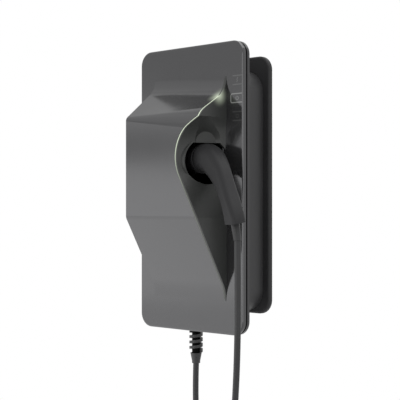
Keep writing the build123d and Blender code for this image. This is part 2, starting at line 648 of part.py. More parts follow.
# Bend relief: a spiral fin on a core, ending in a sleeve that tapers to the cable
fin_length = RELIEF_PITCH * RELIEF_TURNS
with BuildPart() as bend_relief:
    with BuildLine() as spiral:
        Helix(
            RELIEF_PITCH, fin_length, (RELIEF_CORE_R + RELIEF_FIN_R) / 2 - SEAM,
            center=(GLAND_X, -GLAND_DEPTH, RELIEF_FIN_TOP - RELIEF_FIN_T / 2 - fin_length),
        )
    with BuildSketch(Plane(origin=spiral.line @ 0, z_dir=spiral.line % 0, x_dir=(1, 0, 0))):
        Rectangle(RELIEF_FIN_R - RELIEF_CORE_R + SEAM, RELIEF_FIN_T)
    sweep(path=spiral.line, is_frenet=True)
    with BuildSketch(level_plane(GLAND_X, GLAND_DEPTH, RELIEF_END)):
        Circle(RELIEF_CORE_R)
    extrude(amount=GLAND_DOME_BOTTOM - RELIEF_END)
    with BuildSketch(level_plane(GLAND_X, GLAND_DEPTH, RELIEF_SLEEVE_TOP)):
        Circle(RELIEF_SLEEVE_R)
    with BuildSketch(level_plane(GLAND_X, GLAND_DEPTH, RELIEF_END)):
        Circle(RELIEF_END_R)
    loft()
save(bend_relief, "bend_relief")

# Cable: tail inside the box, the strand from the gland, the coil, and the strand up to the plug.
# The coil hangs midway between the gland and the plug, in the upright plane through both.
gland_end = Vector(GLAND_X, -GLAND_DEPTH, RELIEF_END)
COIL_CENTRE = Vector((gland_end.X + boot_end.X) / 2, (gland_end.Y + boot_end.Y) / 2, COIL_Z)
span = Vector(boot_end.X - gland_end.X, boot_end.Y - gland_end.Y, 0)
COIL_ALONG = span.normalized()
with BuildPart() as cable_coil:
    with BuildSketch(Plane(origin=COIL_CENTRE, x_dir=COIL_ALONG, z_dir=(0, 0, 1))):
        with Locations((COIL_MID_R, 0)):
            RectangleRounded(COIL_RADIAL, COIL_WIDE, COIL_CORNER_R)
    revolve(axis=Axis(COIL_CENTRE, Vector(0, 0, 1).cross(COIL_ALONG)))
save(cable_coil, "cable_coil")


def strand(points, name):
    """Tube along a route of straight runs and tangent arcs, stopped at the coil."""
    radii = []
    for before, at, after in zip(points, points[1:], points[2:]):
        turn = (at - before).get_angle(after - at)
        shorter = min((at - before).length, (after - at).length)
        radii.append(ARC_SHARE * shorter / tan(radians(turn / 2)))
    print(name, "bend radii", [round(r) for r in radii])
    with BuildPart() as tube:
        with BuildLine() as path:
            FilletPolyline(*points, radius=radii)
        with BuildSketch(Plane(origin=path.line @ 0, z_dir=(0, 0, -1))):
            Circle(CABLE_D / 2)
        sweep(path=path.line)
        add(cable_coil.part, mode=Mode.SUBTRACT)
    return tube


def hanging(distance, height):
    """Point in the coil's plane at a distance from the coil's centre line."""
    level = COIL_CENTRE + COIL_ALONG * distance
    return Vector(level.X, level.Y, height)


gland_route = [gland_end]
gland_route += [hanging(shift - span.length / 2, height) for shift, height in GLAND_BULGE]
gland_route += [hanging(distance, height) for distance, height in GLAND_LEAD_IN]
plug_route = [boot_end]
plug_route += [hanging(shift + span.length / 2, height) for shift, height in PLUG_BULGE]
plug_route += [hanging(distance, height) for distance, height in PLUG_LEAD_IN]
cable_gland_run = strand(gland_route, "cable_gland_run")
save(cable_gland_run, "cable_gland_run")
cable_plug_run = strand(plug_route, "cable_plug_run")
save(cable_plug_run, "cable_plug_run")

OUTPUT_BOTTOM = TERMINAL_Z - TERMINAL_H / 2
with BuildPart() as cable_tail:
    with BuildSketch(level_plane(GLAND_X, GLAND_DEPTH, GLAND_DOME_BOTTOM)):
        Circle(CABLE_D / 2)
    extrude(amount=OUTPUT_BOTTOM - GLAND_DOME_BOTTOM)
save(cable_tail, "cable_tail")

with BuildPart() as coil_strap:
    strap_plane = Plane(
        origin=COIL_CENTRE + Vector(0, 0, COIL_MID_R),
        x_dir=Vector(0, 0, 1).cross(COIL_ALONG),
        z_dir=COIL_ALONG,
    )
    with BuildSketch(strap_plane):
        RectangleRounded(COIL_WIDE + 2 * STRAP_T, COIL_RADIAL + 2 * STRAP_T, COIL_CORNER_R + STRAP_T)
    extrude(amount=STRAP_W / 2, both=True)
    add(cable_coil.part, mode=Mode.SUBTRACT)
save(coil_strap, "coil_strap")

# Electronics on the main board, and the boards in the cover
with BuildPart() as main_board:
    with BuildSketch(front_plane(BOARD_REAR)):
        with Locations((0, MAIN_BOARD_Z)):
            Rectangle(MAIN_BOARD_W, MAIN_BOARD_H)
        with Locations(BOARD_SCREWS):
            Circle(SCREW_R + SCREW_PLAY, mode=Mode.SUBTRACT)
    extrude(amount=BOARD_T)
save(main_board, "main_board")

with BuildPart() as terminal_block:
    with BuildSketch(front_plane(BOARD_FACE)):
        with Locations((TERMINAL_X, TERMINAL_Z)):
            Rectangle(TERMINAL_W, TERMINAL_H)
    extrude(amount=TERMINAL_T)
    with BuildSketch(Plane(origin=(TERMINAL_X, -BOARD_FACE - TERMINAL_T / 2, TERMINAL_Z - TERMINAL_H / 2))):
        with GridLocations(TERMINAL_W / TERMINAL_WAYS, 0, TERMINAL_WAYS, 1):
            Circle(TERMINAL_BORE_R)
    extrude(amount=TERMINAL_H / 2, mode=Mode.SUBTRACT)
save(terminal_block, "terminal_block")

with BuildPart() as output_terminal:
    with BuildSketch(front_plane(BOARD_FACE)):
        with Locations((GLAND_X, TERMINAL_Z)):
            Rectangle(OUTPUT_W, TERMINAL_H)
    extrude(amount=OUTPUT_T)
save(output_terminal, "output_terminal")

for name, side in (("power_relay_1", -1), ("power_relay_2", 1)):
    with BuildPart() as power_relay:
        with BuildSketch(front_plane(BOARD_FACE)):
            with Locations((side * RELAY_X / 2 + RELAY_X / 2, RELAY_Z)):
                Rectangle(RELAY_W - 2 * SHELL, RELAY_H)
        extrude(amount=RELAY_T)
        fillet(power_relay.faces().sort_by(Axis.Y)[0].edges(), COVER_EDGE_R / 2)
    save(power_relay, name)

with BuildPart() as current_sensor:
    with BuildSketch(front_plane(BOARD_FACE)):
        with Locations((SENSOR_X, SENSOR_Z)):
            Circle(SENSOR_R)
            Circle(SENSOR_BORE_R, mode=Mode.SUBTRACT)
    extrude(amount=SENSOR_T)
    fillet(current_sensor.faces().sort_by(Axis.Y)[0].edges(), COVER_EDGE_R)
save(current_sensor, "current_sensor")

with BuildPart() as power_supply:
    with BuildSketch(front_plane(BOARD_FACE)):
        with Locations((SUPPLY_X, SUPPLY_Z)):
            Rectangle(SUPPLY_W, SUPPLY_H)
    extrude(amount=SUPPLY_T)
    fillet(power_supply.edges().filter_by(Axis.Y), COVER_EDGE_R)
save(power_supply, "power_supply")

with BuildPart() as control_card:
    with BuildSketch(front_plane(BOARD_FACE)):
        with Locations((CARD_X, CARD_Z)):
            Rectangle(CARD_FOOT_W, CARD_H - CARD_FOOT_W)
    extrude(amount=CARD_FOOT_T)
    with BuildSketch(front_plane(BOARD_FACE)):
        with Locations((CARD_X, CARD_Z)):
            Rectangle(BOARD_T, CARD_H)
    extrude(amount=CARD_OUT)
save(control_card, "control_card")

with BuildPart() as light_board:
    with BuildSketch(side_plane(HUMP_HALF_W - INSERT_T)):
        with Locations((COVER_FACE + LIGHT_BOARD_UP + LIGHT_BOARD_DEEP / 2, LIGHT_BOARD_Z)):
            Rectangle(LIGHT_BOARD_DEEP, LIGHT_BOARD_H)
    extrude(amount=BOARD_T)
save(light_board, "light_board")

with BuildPart() as status_board:
    with BuildSketch(front_plane(COVER_FACE - SHELL - STATUS_BOARD_GAP - BOARD_T)):
        with Locations(((STATUS_LEFT + STATUS_RIGHT) / 2, STATUS_HEIGHTS[1])):
            Rectangle(STATUS_BOARD_W, STATUS_BOARD_H)
    extrude(amount=BOARD_T)
save(status_board, "status_board")

# Supply grommet: through the housing's back, inside the wall plate's opening
with BuildPart() as supply_grommet:
    with BuildSketch(front_plane(HOUSING_REAR - GROMMET_LIP_T)):
        with Locations((SUPPLY_BORE_X, SUPPLY_BORE_Z)):
            Circle(GROMMET_LIP_R - SCREW_PLAY)
    extrude(amount=GROMMET_LIP_T)
    with BuildSketch(front_plane(HOUSING_REAR)):
        with Locations((SUPPLY_BORE_X, SUPPLY_BORE_Z)):
            Circle(GROMMET_R - SCREW_PLAY)
    extrude(amount=SHELL)
    with BuildSketch(front_plane(FLOOR_DEPTH)):
        with Locations((SUPPLY_BORE_X, SUPPLY_BORE_Z)):
            Circle(GROMMET_LIP_R - SCREW_PLAY)
    extrude(amount=GROMMET_LIP_T)
    with BuildSketch(front_plane(0)):
        with Locations((SUPPLY_BORE_X, SUPPLY_BORE_Z)):
            Circle(SUPPLY_BORE_R)
    extrude(amount=FLOOR_DEPTH + GROMMET_LIP_T, mode=Mode.SUBTRACT)
save(supply_grommet, "supply_grommet")


def screws(places, head_seat, out, bite, name):
    """Pan-head screws whose heads sit at a depth; out is 1 when the heads face the front."""
    with BuildPart() as group:
        with BuildSketch(front_plane(head_seat)):
            with Locations(places):
                Circle(SCREW_HEAD_R)
        extrude(amount=out * SCREW_HEAD_T)
        with BuildSketch(front_plane(head_seat)):
            with Locations(places):
                Circle(SCREW_R)
        extrude(amount=-out * bite)
    save(group, name)


screws(COVER_SCREWS, FRAME_REAR, -1, COVER_SCREW_BITE, "cover_screws")
screws(FRAME_SCREWS, GASKET_REAR - SCREW_HEAD_T, 1, FRAME_SCREW_BITE, "frame_screws")
screws(PLATE_SCREWS, FLOOR_DEPTH, 1, SHELL + PLATE_T - 1.0, "plate_screws")
screws(BOARD_SCREWS, BOARD_FACE, 1, BOARD_T + BOARD_STANDOFF - 1.0, "board_screws")
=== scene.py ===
"""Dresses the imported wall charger: its finishes, lit pieces, charging cable and studio.

Everything is in metres in the part's own frame: X to the right, Y into the wall, Z up, the wall at Y = 0.
"""
from __future__ import annotations

import logging
import math
from dataclasses import dataclass, field, replace
from enum import Enum
from typing import Any, Optional

import bpy
import numpy as np
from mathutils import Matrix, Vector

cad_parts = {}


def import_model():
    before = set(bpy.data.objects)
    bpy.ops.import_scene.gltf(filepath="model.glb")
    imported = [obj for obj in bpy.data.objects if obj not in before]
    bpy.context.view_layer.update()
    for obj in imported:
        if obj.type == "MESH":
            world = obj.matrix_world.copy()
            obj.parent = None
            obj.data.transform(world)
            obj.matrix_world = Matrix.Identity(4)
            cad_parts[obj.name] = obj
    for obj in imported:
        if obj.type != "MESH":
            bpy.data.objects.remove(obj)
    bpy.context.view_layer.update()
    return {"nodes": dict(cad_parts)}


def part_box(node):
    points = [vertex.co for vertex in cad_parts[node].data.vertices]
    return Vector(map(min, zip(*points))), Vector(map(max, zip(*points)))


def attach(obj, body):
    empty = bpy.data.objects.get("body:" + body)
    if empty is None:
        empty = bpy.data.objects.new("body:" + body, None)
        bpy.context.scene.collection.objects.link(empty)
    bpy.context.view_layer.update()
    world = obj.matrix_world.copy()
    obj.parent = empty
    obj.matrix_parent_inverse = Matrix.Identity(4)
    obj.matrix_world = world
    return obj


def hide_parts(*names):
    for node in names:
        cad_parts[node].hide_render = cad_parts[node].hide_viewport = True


LOG = logging.getLogger("wall_charger")
MM = 0.001
BODY = "root"
BLACK = "#000000"
WHITE = "#ffffff"

# Blender's Mix node has the same socket names for values and for colours, so these go by number.
VALUE_A, VALUE_B, VALUE_OUT = 2, 3, 0
COLOUR_A, COLOUR_B, COLOUR_OUT = 6, 7, 2
# Nearly all values of Blender's noise lie in this range.
NOISE_LOW, NOISE_HIGH = 0.3, 0.7
# How many finer layers of noise the patches and the grain have
PATCH_DETAIL, GRAIN_DETAIL = 3.0, 2.0
# Specular level of a plain surface, the shader's own default
PLAIN_SHINE = 0.5
# Blender's wave texture repeats every tau over this many times its scale.
WAVE_FACTOR = 20
# The cover's lacquer, which the faces of the status fields have too
LACQUER_COLOUR = "#4e4e4f"
LACQUER_METALLIC = 0.77

Point = tuple[float, float, float]
Pairs = tuple[tuple[float, float], ...]
Surface = tuple[np.ndarray, np.ndarray]


def linear(hex_colour: str, share: float = 1.0) -> tuple[float, float, float, float]:
    """Turns an sRGB hex colour into linear red, green, blue and alpha.

    The sRGB curve has a short straight foot and is a power of 2.4 above it.

    Args:
        hex_colour: Six hex digits after a hash.
        share: Factor on red, green and blue.

    Returns:
        The linear colour with an alpha of one.
    """
    srgb = np.array([int(hex_colour[i:i + 2], 16) for i in (1, 3, 5)]) / 255.0
    values = np.where(srgb <= 0.04045, srgb / 12.92, ((srgb + 0.055) / 1.055) ** 2.4)
    return (*(values * share).tolist(), 1.0)


def add_node(
    tree: bpy.types.NodeTree, kind: str, inputs: Optional[dict] = None, **settings: Any
) -> bpy.types.Node:
    """Adds a node, sets its properties, and fills or links its inputs.

    Args:
        tree: The node tree that takes the node.
        kind: Blender's name of the node type.
        inputs: Input name or index to a value, or to the output socket that feeds it.
        **settings: Properties of the node.

    Returns:
        The new node.
    """
    node = tree.nodes.new(kind)
    for name, value in settings.items():
        setattr(node, name, value)
    for key, value in (inputs or {}).items():
        if isinstance(value, bpy.types.NodeSocket):
            tree.links.new(value, node.inputs[key])
        else:
            node.inputs[key].default_value = value
    return node


def new_material(name: str) -> tuple[bpy.types.Material, bpy.types.NodeTree]:
    """Makes a material with an empty node tree.

    Args:
        name: The material's name.

    Returns:
        The material and its tree.
    """
    material = bpy.data.materials.new(name)
    material.use_nodes = True
    material.node_tree.nodes.clear()
    return material, material.node_tree


def mesh_piece(name: str, parts: list[Surface]) -> bpy.types.Object:
    """Joins vertex and quad arrays into one mesh object at the origin.

    Args:
        name: The object's name.
        parts: Vertices and quads of each part, with the quads facing outwards.

    Returns:
        The object, linked to the scene.
    """
    offsets = np.cumsum([0] + [len(points) for points, _ in parts])
    points = np.vstack([points for points, _ in parts])
    quads = np.vstack([faces + offset for (_, faces), offset in zip(parts, offsets)])
    mesh = bpy.data.meshes.new(name)
    mesh.from_pydata(points.tolist(), [], quads.tolist())
    mesh.validate()
    mesh.update()
    piece = bpy.data.objects.new(name, mesh)
    bpy.context.scene.collection.objects.link(piece)
    return piece


def lower_end(node: bpy.types.Object, level: float = 0.01 * MM) -> np.ndarray:
    """Finds the middle of a node's lowest face, from the vertices that lie at its lowest height.

    Args:
        node: A node whose lower end is level.
        level: How far above the lowest vertex the others may lie.

    Returns:
        The middle point in metres.
    """
    points = np.empty(len(node.data.vertices) * 3, dtype=np.float32)
    node.data.vertices.foreach_get("co", points)
    points = points.reshape(-1, 3)
    ring = points[points[:, 2] < points[:, 2].min() + level]
    return ((ring.min(axis=0) + ring.max(axis=0)) / 2).astype(float)


@dataclass(frozen=True)
class LampGlow:
    """Soft light that the lamp at the guide's upper end spills on the surfaces round it, painted on them as
    emission.

    Attributes:
        centre: The lamp's place.
        radius: Distance at which the spill has faded out.
        colour: Hex colour of the light.
        strength: Emission right beside the lamp.
        falloff: Power of the fade; above one, it leaves a small bright heart.
    """

    centre: Point
    radius: float
    colour: str
    strength: float
    falloff: float = 2.2

    def emission(self, tree: bpy.types.NodeTree, place: bpy.types.NodeSocket) -> bpy.types.NodeSocket:
        """Falls evenly from one at the lamp to nothing at the radius, and is then raised to the falloff.

        Args:
            tree: The material's tree.
            place: Object coordinates.

        Returns:
            The emission strength.
        """
        distance = add_node(tree, "ShaderNodeVectorMath", {0: place, 1: self.centre}, operation="DISTANCE")
        near = add_node(
            tree,
            "ShaderNodeMapRange",
            {"Value": distance.outputs["Value"], "From Max": self.radius, "To Min": 1.0, "To Max": 0.0},
        )
        heart = add_node(tree, "ShaderNodeMath", {0: near.outputs[0], 1: self.falloff}, operation="POWER")
        return add_node(
            tree, "ShaderNodeMath", {0: heart.outputs[0], 1: self.strength}, operation="MULTIPLY"
        ).outputs[0]


@dataclass(frozen=True)
class PaintedHollowShade:
    """Painted shade in hollows round an axis: near the axis the colour is painted black and the shine turned
    down.

    Attributes:
        centre: A point on the axis.
        along: Unit vector along the axis, out of the hollows.
        inner: Distance from the axis up to which the shade is painted fully black.
        outer: Distance from the axis at which it has its own colour.
        end: Distance along the axis past which no shade is painted, as there are no hollows.
        shine: Specular level that is left in the hollows under the painted shade.
    """

    centre: Point
    along: Point
    inner: float
    outer: float
    end: float
    shine: float = 0.05

    def share(self, tree: bpy.types.NodeTree, place: bpy.types.NodeSocket) -> bpy.types.NodeSocket:
        """Follows the distance from the axis: the painted shade leaves no colour in the hollows, and all of
        it on what stands out.

        Args:
            tree: The material's tree.
            place: Object coordinates.

        Returns:
            The share of the surface's own colour.
        """
        offset = add_node(
            tree, "ShaderNodeVectorMath", {0: place, 1: self.centre}, operation="SUBTRACT"
        ).outputs[0]
        both = {0: offset, 1: self.along}
        across = add_node(tree, "ShaderNodeVectorMath", both, operation="CROSS_PRODUCT")
        radius = add_node(tree, "ShaderNodeVectorMath", {0: across.outputs[0]}, operation="LENGTH")
        reach = add_node(tree, "ShaderNodeVectorMath", both, operation="DOT_PRODUCT")
        out = add_node(
            tree,
            "ShaderNodeMapRange",
            {"Value": radius.outputs["Value"], "From Min": self.inner, "From Max": self.outer},
        )
        past = add_node(
            tree, "ShaderNodeMath", {0: reach.outputs["Value"], 1: self.end}, operation="GREATER_THAN"
        )
        return add_node(
            tree, "ShaderNodeMath", {0: out.outputs[0], 1: past.outputs[0]}, operation="MAXIMUM"
        ).outputs[0]


@dataclass(frozen=True)
class MouldedFinish:
    """A moulded, plated or lacquered surface with slight unevenness of colour, gloss and grain.

    Attributes:
        name: The material's common name and how its surface was made.
        colour: Hex colour.
        roughness: Mean roughness.
        metallic: How far the surface is a metal or a metal-flake lacquer.
        ior: Index of refraction of a plastic.
        uneven: Share by which the colour varies between patches.
        patch_mm: Size of a patch of colour or gloss.
        gloss_spread: How far the roughness varies on either side of the mean.
        grain_mm: Size of the moulded grain, drawn coarse enough to show.
        grain_depth: Strength of the grain as a bump.
        grain_height_mm: Height of the bump at full strength.
        glow: Light from the guide's lamp, painted on the surface as emission.
        gaps: Painted shade in deep hollows of the surface.
    """

    name: str
    colour: str
    roughness: float
    metallic: float = 0.0
    ior: float = 1.5
    uneven: float = 0.06
    patch_mm: float = 60.0
    gloss_spread: float = 0.03
    grain_mm: float = 1.2
    grain_depth: float = 0.05
    grain_height_mm: float = 0.1
    glow: Optional[LampGlow] = None
    gaps: Optional[PaintedHollowShade] = None

    def build(self) -> bpy.types.Material:
        """Varies colour and gloss with one large noise, and raises the grain with a fine one.

        Returns:
            The material.
        """
        material, tree = new_material(self.name)
        place = add_node(tree, "ShaderNodeTexCoord").outputs["Object"]
        patches = add_node(
            tree,
            "ShaderNodeTexNoise",
            {"Vector": place, "Scale": 1 / (self.patch_mm * MM), "Detail": PATCH_DETAIL},
        ).outputs["Fac"]
        tint = add_node(
            tree,
            "ShaderNodeMix",
            {
                0: patches,
                COLOUR_A: linear(self.colour, 1 - self.uneven),
                COLOUR_B: linear(self.colour, 1 + self.uneven),
            },
            data_type="RGBA",
        ).outputs[COLOUR_OUT]
        gloss = add_node(
            tree,
            "ShaderNodeMapRange",
            {
                "Value": patches,
                "From Min": NOISE_LOW,
                "From Max": NOISE_HIGH,
                "To Min": self.roughness - self.gloss_spread,
                "To Max": self.roughness + self.gloss_spread,
            },
        )
        grain = add_node(
            tree,
            "ShaderNodeTexNoise",
            {"Vector": place, "Scale": 1 / (self.grain_mm * MM), "Detail": GRAIN_DETAIL},
        )
        bump = add_node(
            tree,
            "ShaderNodeBump",
            {
                "Height": grain.outputs["Fac"],
                "Strength": self.grain_depth,
                "Distance": self.grain_height_mm * MM,
            },
        )
        sockets: dict[str, Any] = {
            "Base Color": tint,
            "Roughness": gloss.outputs[0],
            "Normal": bump.outputs[0],
            "Metallic": self.metallic,
            "IOR": self.ior,
        }
        # Painted light: the guide lamp's spill, drawn as emission.
        if self.glow is not None:
            sockets["Emission Color"] = linear(self.glow.colour)
            sockets["Emission Strength"] = self.glow.emission(tree, place)
        # Painted shade: the hollows are painted black and lose most of their shine.
        if self.gaps is not None:
            share = self.gaps.share(tree, place)
            sockets["Base Color"] = add_node(
                tree, "ShaderNodeMix", {0: share, COLOUR_A: linear(BLACK), COLOUR_B: tint}, data_type="RGBA"
            ).outputs[COLOUR_OUT]
            sockets["Specular IOR Level"] = add_node(
                tree,
                "ShaderNodeMapRange",
                {"Value": share, "To Min": self.gaps.shine, "To Max": PLAIN_SHINE},
            ).outputs[0]
        shader = add_node(tree, "ShaderNodeBsdfPrincipled", sockets)
        add_node(tree, "ShaderNodeOutputMaterial", {"Surface": shader.outputs[0]})
        return material


@dataclass(frozen=True)
class LitGuideFinish:
    """Acrylic that is lit from behind or from one end, its light following height.

    Attributes:
        name: The material's name.
        colour: Hex colour of the unlit acrylic.
        light: Hex colour of its light.
        levels: Height and emission there, from low to high.
        metallic: How far the unlit face is coated like the lacquer round it.
        roughness: Lowest and highest roughness of the face.
        edge_x: Place along X left of which edge_levels hold instead.
        edge_levels: Height and emission of that part.
        ior: Index of refraction of acrylic.
        frost_mm: Size of the frosted grain.
    """

    name: str
    colour: str
    light: str
    levels: Pairs
    metallic: float = 0.0
    roughness: tuple[float, float] = (0.3, 0.45)
    edge_x: float = 0.0
    edge_levels: Pairs = ()
    ior: float = 1.49
    frost_mm: float = 0.8

    def build(self) -> bpy.types.Material:
        """Makes the emission follow height, and the roughness a fine noise.

        Returns:
            The material.
        """
        material, tree = new_material(self.name)
        place = add_node(tree, "ShaderNodeTexCoord").outputs["Object"]
        axes = add_node(tree, "ShaderNodeSeparateXYZ", {0: place})
        strength = self.strength(tree, axes.outputs["Z"], self.levels)
        if self.edge_levels:
            edge = self.strength(tree, axes.outputs["Z"], self.edge_levels)
            beyond = add_node(
                tree, "ShaderNodeMath", {0: axes.outputs["X"], 1: self.edge_x}, operation="GREATER_THAN"
            )
            strength = add_node(
                tree, "ShaderNodeMix", {0: beyond.outputs[0], VALUE_A: edge, VALUE_B: strength}
            ).outputs[VALUE_OUT]
        frost = add_node(tree, "ShaderNodeTexNoise", {"Vector": place, "Scale": 1 / (self.frost_mm * MM)})
        smoothest, roughest = self.roughness
        rough = add_node(
            tree,
            "ShaderNodeMapRange",
            {"Value": frost.outputs["Fac"], "To Min": smoothest, "To Max": roughest},
        )
        shader = add_node(
            tree,
            "ShaderNodeBsdfPrincipled",
            {
                "Base Color": linear(self.colour),
                "Roughness": rough.outputs[0],
                "Metallic": self.metallic,
                "IOR": self.ior,
                "Emission Color": linear(self.light),
                "Emission Strength": strength,
            },
        )
        add_node(tree, "ShaderNodeOutputMaterial", {"Surface": shader.outputs[0]})
        return material

    @staticmethod
    def strength(
        tree: bpy.types.NodeTree, height: bpy.types.NodeSocket, levels: Pairs
    ) -> bpy.types.NodeSocket:
        """Turns height into emission through a ramp with one stop per level.

        Args:
            tree: The material's tree.
            height: Height in metres.
            levels: Height and emission there, from low to high.

        Returns:
            The emission strength.
        """
        low, high = levels[0][0], levels[-1][0]
        brightest = max(level for _, level in levels)
        share = add_node(tree, "ShaderNodeMapRange", {"Value": height, "From Min": low, "From Max": high})
        ramp = add_node(tree, "ShaderNodeValToRGB", {0: share.outputs[0]})
        stops = ramp.color_ramp.elements
        # New stops start midway and get their own place below.
        while len(stops) < len(levels):
            stops.new(0.5)
        for stop, (level_height, level) in zip(stops, levels):
            stop.position = (level_height - low) / (high - low)
            stop.color = (level / brightest,) * 3 + (1.0,)
        return add_node(
            tree, "ShaderNodeMath", {0: ramp.outputs["Color"], 1: brightest}, operation="MULTIPLY"
        ).outputs[0]


@dataclass(frozen=True)
class WovenFinish:
    """Woven strap tape: two crossed sets of threads drawn as waves.

    Attributes:
        name: The material's name.
        colour: Hex colour of the threads.
        thread_mm: Spacing of the threads, drawn coarse enough to show.
        ridge_depth: Strength of the threads as a bump.
        ridge_height_mm: Height of the bump at full strength.
        between: Share of the colour that is left between the threads.
        roughness: Roughness of the threads.
        sheen: Weight of the light that stray fibres catch.
    """

    name: str
    colour: str
    thread_mm: float
    ridge_depth: float = 0.6
    ridge_height_mm: float = 0.3
    between: float = 0.6
    roughness: float = 0.85
    sheen: float = 0.2

    def build(self) -> bpy.types.Material:
        """Multiplies the two sets of waves, for the ridges and for the shade between the threads.

        Returns:
            The material.
        """
        material, tree = new_material(self.name)
        place = add_node(tree, "ShaderNodeTexCoord").outputs["Object"]
        waves = {"Vector": place, "Scale": math.tau / (WAVE_FACTOR * self.thread_mm * MM)}
        warp = add_node(tree, "ShaderNodeTexWave", waves, bands_direction="Z")
        weft = add_node(tree, "ShaderNodeTexWave", waves, bands_direction="DIAGONAL")
        ridges = add_node(
            tree, "ShaderNodeMath", {0: warp.outputs["Fac"], 1: weft.outputs["Fac"]}, operation="MULTIPLY"
        ).outputs[0]
        bump = add_node(
            tree,
            "ShaderNodeBump",
            {"Height": ridges, "Strength": self.ridge_depth, "Distance": self.ridge_height_mm * MM},
        )
        shade = add_node(
            tree,
            "ShaderNodeMix",
            {0: ridges, COLOUR_A: linear(self.colour, self.between), COLOUR_B: linear(self.colour)},
            data_type="RGBA",
        )
        shader = add_node(
            tree,
            "ShaderNodeBsdfPrincipled",
            {
                "Base Color": shade.outputs[COLOUR_OUT],
                "Roughness": self.roughness,
                "Normal": bump.outputs[0],
                "Sheen Weight": self.sheen,
            },
        )
        add_node(tree, "ShaderNodeOutputMaterial", {"Surface": shader.outputs[0]})
        return material


AnyFinish = MouldedFinish | LitGuideFinish | WovenFinish

# Painted light: the spill of the guide's lamp on the cover and the dock, drawn as emission in their
# finishes.
PAINTED_LAMP_SPILL = LampGlow(
    centre=(84.5 * MM, -126.5 * MM, 160.0 * MM), radius=24.0 * MM, colour="#d8e4ca", strength=0.95,
)

# The plug goes into its seat along a level line that is turned from X by this much.
SEAT_TURN = math.radians(22)
# Painted shade in the plug's seat: black close to the seat's axis, from 3 mm in from the centre named here.
SEAT_PAINTED_SHADE = PaintedHollowShade(
    centre=(66.8 * MM, -136.4 * MM, 46.0 * MM),
    along=(math.cos(SEAT_TURN), -math.sin(SEAT_TURN), 0.0),
    inner=40.8 * MM,
    outer=42.0 * MM,
    end=-3.0 * MM,
)

# Painted shade in the gaps between the turns of the bend relief; its plain sleeve begins at the centre named
# here.
TURN_GAP_PAINTED_SHADE = PaintedHollowShade(
    centre=(-38.0 * MM, -50.0 * MM, -303.0 * MM),
    along=(0.0, 0.0, -1.0),
    inner=8.2 * MM,
    outer=11.2 * MM,
    end=0.0,
)


class Finish(Enum):
    """The finishes of the charger's solid pieces."""

    # Dark metal-flake lacquer: nearly all that the eye sees is a soft mirror of the room; the lamp's spill
    # near the guide is painted on it as emission.
    LACQUER = MouldedFinish(
        "anthracite_metal_flake_lacquer", LACQUER_COLOUR, 0.13, metallic=LACQUER_METALLIC, uneven=0.015,
        gloss_spread=0.01, grain_mm=1.0, grain_depth=0.015, glow=PAINTED_LAMP_SPILL,
    )
    # The frame behind the shadow gap has the same lacquer with a duller, darker top coat.
    FRAME = MouldedFinish(
        "satin_anthracite_lacquer", "#454546", 0.34, metallic=0.88, uneven=0.015, gloss_spread=0.01,
        grain_mm=1.0, grain_depth=0.03,
    )
    # ABS from a spark-eroded mould: a dull, slightly pebbled black.
    HOUSING = MouldedFinish("textured_black_abs", "#272728", 0.5, grain_mm=1.1, grain_depth=0.25)
    # ABS from a finer mould: an even satin black that shines less than the housing.
    PLATE = MouldedFinish("satin_black_abs", "#2e2e2f", 0.5, ior=1.22, grain_mm=1.3, grain_depth=0.12)
    # Satin polycarbonate blend: black with a soft gloss that picks up the plug and the lamp; the lamp's
    # spill is also painted on it as emission.
    # The seat that the plug goes into has painted shade: its colour is painted black and most of its shine
    # taken away.
    DOCK = MouldedFinish(
        "satin_black_polycarbonate", "#2f302f", 0.36, ior=1.36, glow=PAINTED_LAMP_SPILL, gaps=SEAT_PAINTED_SHADE,
    )
    # Glass-filled polyamide: satin black of the hand-held plug.
    PLUG = MouldedFinish("satin_black_polyamide", "#2a2a2b", 0.48, ior=1.2, grain_mm=0.9, grain_depth=0.12)
    # Moulded polyamide of gland and locknut: deep black with a dull shine.
    GLAND = MouldedFinish("black_polyamide", "#0d0d0e", 0.45, ior=1.25)
    # The bend relief is the softer grade: dark grey turns of a spiral, with painted shade that makes the
    # gaps between them black.
    RELIEF = MouldedFinish("dark_grey_soft_polyamide", "#2a2a2b", 0.45, ior=1.42, gaps=TURN_GAP_PAINTED_SHADE)
    # Moulded seal rubber: matt and almost black.
    RUBBER = MouldedFinish("black_seal_rubber", "#1a1a1a", 0.7, grain_depth=0.2)
    # Extruded polyurethane: a matt jacket with a long, soft highlight.
    JACKET = MouldedFinish(
        "grey_polyurethane_jacket", "#222223", 0.48, ior=1.42, patch_mm=90.0, grain_depth=0.15,
    )
    # Moulded polyamide of relays and blocks: plain satin black.
    COMPONENT = MouldedFinish("black_component_polyamide", "#26262a", 0.5)
    # Moulded polyamide of the terminals: light grey.
    TERMINAL = MouldedFinish("grey_terminal_polyamide", "#8a8a86", 0.45)
    # Printed solder mask over glass-fibre epoxy: a green that varies with the copper below.
    BOARD = MouldedFinish("green_solder_mask", "#1d5a37", 0.35, uneven=0.15, patch_mm=8.0)
    # Plated contact sleeves: a bright, slightly warm metal.
    SILVER = MouldedFinish("silver_plated_brass", "#d9d5cb", 0.25, metallic=1.0)
    # Electroplated screws: a bluish grey metal.
    ZINC = MouldedFinish("zinc_plated_steel", "#b9bcc0", 0.32, metallic=1.0)


class Paints:
    """Builds each finish once and puts finishes on objects."""

    def __init__(self) -> None:
        """Starts with no material built."""
        self.built: dict[str, bpy.types.Material] = {}

    def put(self, piece: bpy.types.Object, finish: AnyFinish) -> None:
        """Makes a finish, built at its first use, the only material of a piece.

        Args:
            piece: A mesh or curve object.
            finish: The finish to put on it.
        """
        if finish.name not in self.built:
            self.built[finish.name] = finish.build()
        piece.data.materials.clear()
        piece.data.materials.append(self.built[finish.name])
        LOG.info("%s: %s", piece.name, finish.name)


